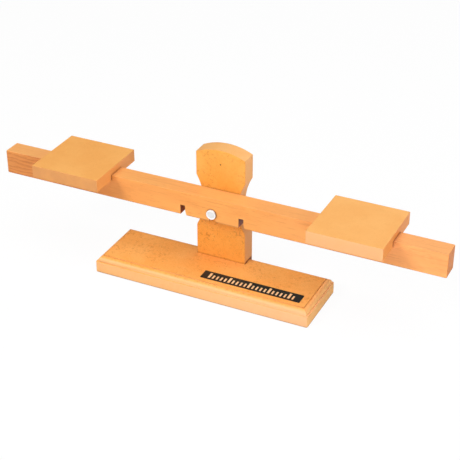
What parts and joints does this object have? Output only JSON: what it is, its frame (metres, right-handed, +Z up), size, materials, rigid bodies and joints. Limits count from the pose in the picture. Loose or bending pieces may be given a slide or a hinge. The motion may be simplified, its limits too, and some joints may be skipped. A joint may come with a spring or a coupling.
{
  "type": "tabletop demonstration balance",
  "caption": "Small wooden seesaw balance: a notched beam rocks on a peg in a shaped post on a moulded base, with sliding square platforms.",
  "frame": {"origin": "centre of the base board's underside", "axes": "+X along the beam towards the labelled end of the base, +Y towards the post side of the stand, +Z up"},
  "size_m": [0.602, 0.1002, 0.177],
  "materials": {
    "base_mdf": "satin varnished fibreboard",
    "post_mdf": "satin varnished fibreboard",
    "beam_pine": "satin varnished pine",
    "platform_mdf": "satin varnished fibreboard",
    "zinc_steel": "bright zinc plate",
    "white_plastic": "glossy white",
    "nylon": "natural nylon",
    "label_black": "semi-matt printed film"
  },
  "bodies": {
    "stand": {"base_board": "base_mdf", "post": "post_mdf", "pivot_bolt": "zinc_steel", "pivot_cap": "white_plastic", "spacer_washer": "nylon", "back_washer": "zinc_steel", "lock_nut": "zinc_steel", "post_screws": "zinc_steel", "label_strip": "label_black"},
    "beam": {"beam": "beam_pine"},
    "left_platform": {"platform_left": "platform_mdf"},
    "right_platform": {"platform_right": "platform_mdf"}
  },
  "joints": [
    {"name": "beam_tilt", "type": "hinge", "parent": "stand", "child": "beam", "pos_m": [0, 0.0087, 0.101], "axis": [0, 1, 0], "range_deg": [-17.5, 17.5]},
    {"name": "left_platform_slide", "type": "slide", "parent": "beam", "child": "left_platform", "axis": [1, 0, 0], "range_m": [-0.064, 0.095]},
    {"name": "right_platform_slide", "type": "slide", "parent": "beam", "child": "right_platform", "axis": [1, 0, 0], "range_m": [-0.0925, 0.0665]}
  ]
}
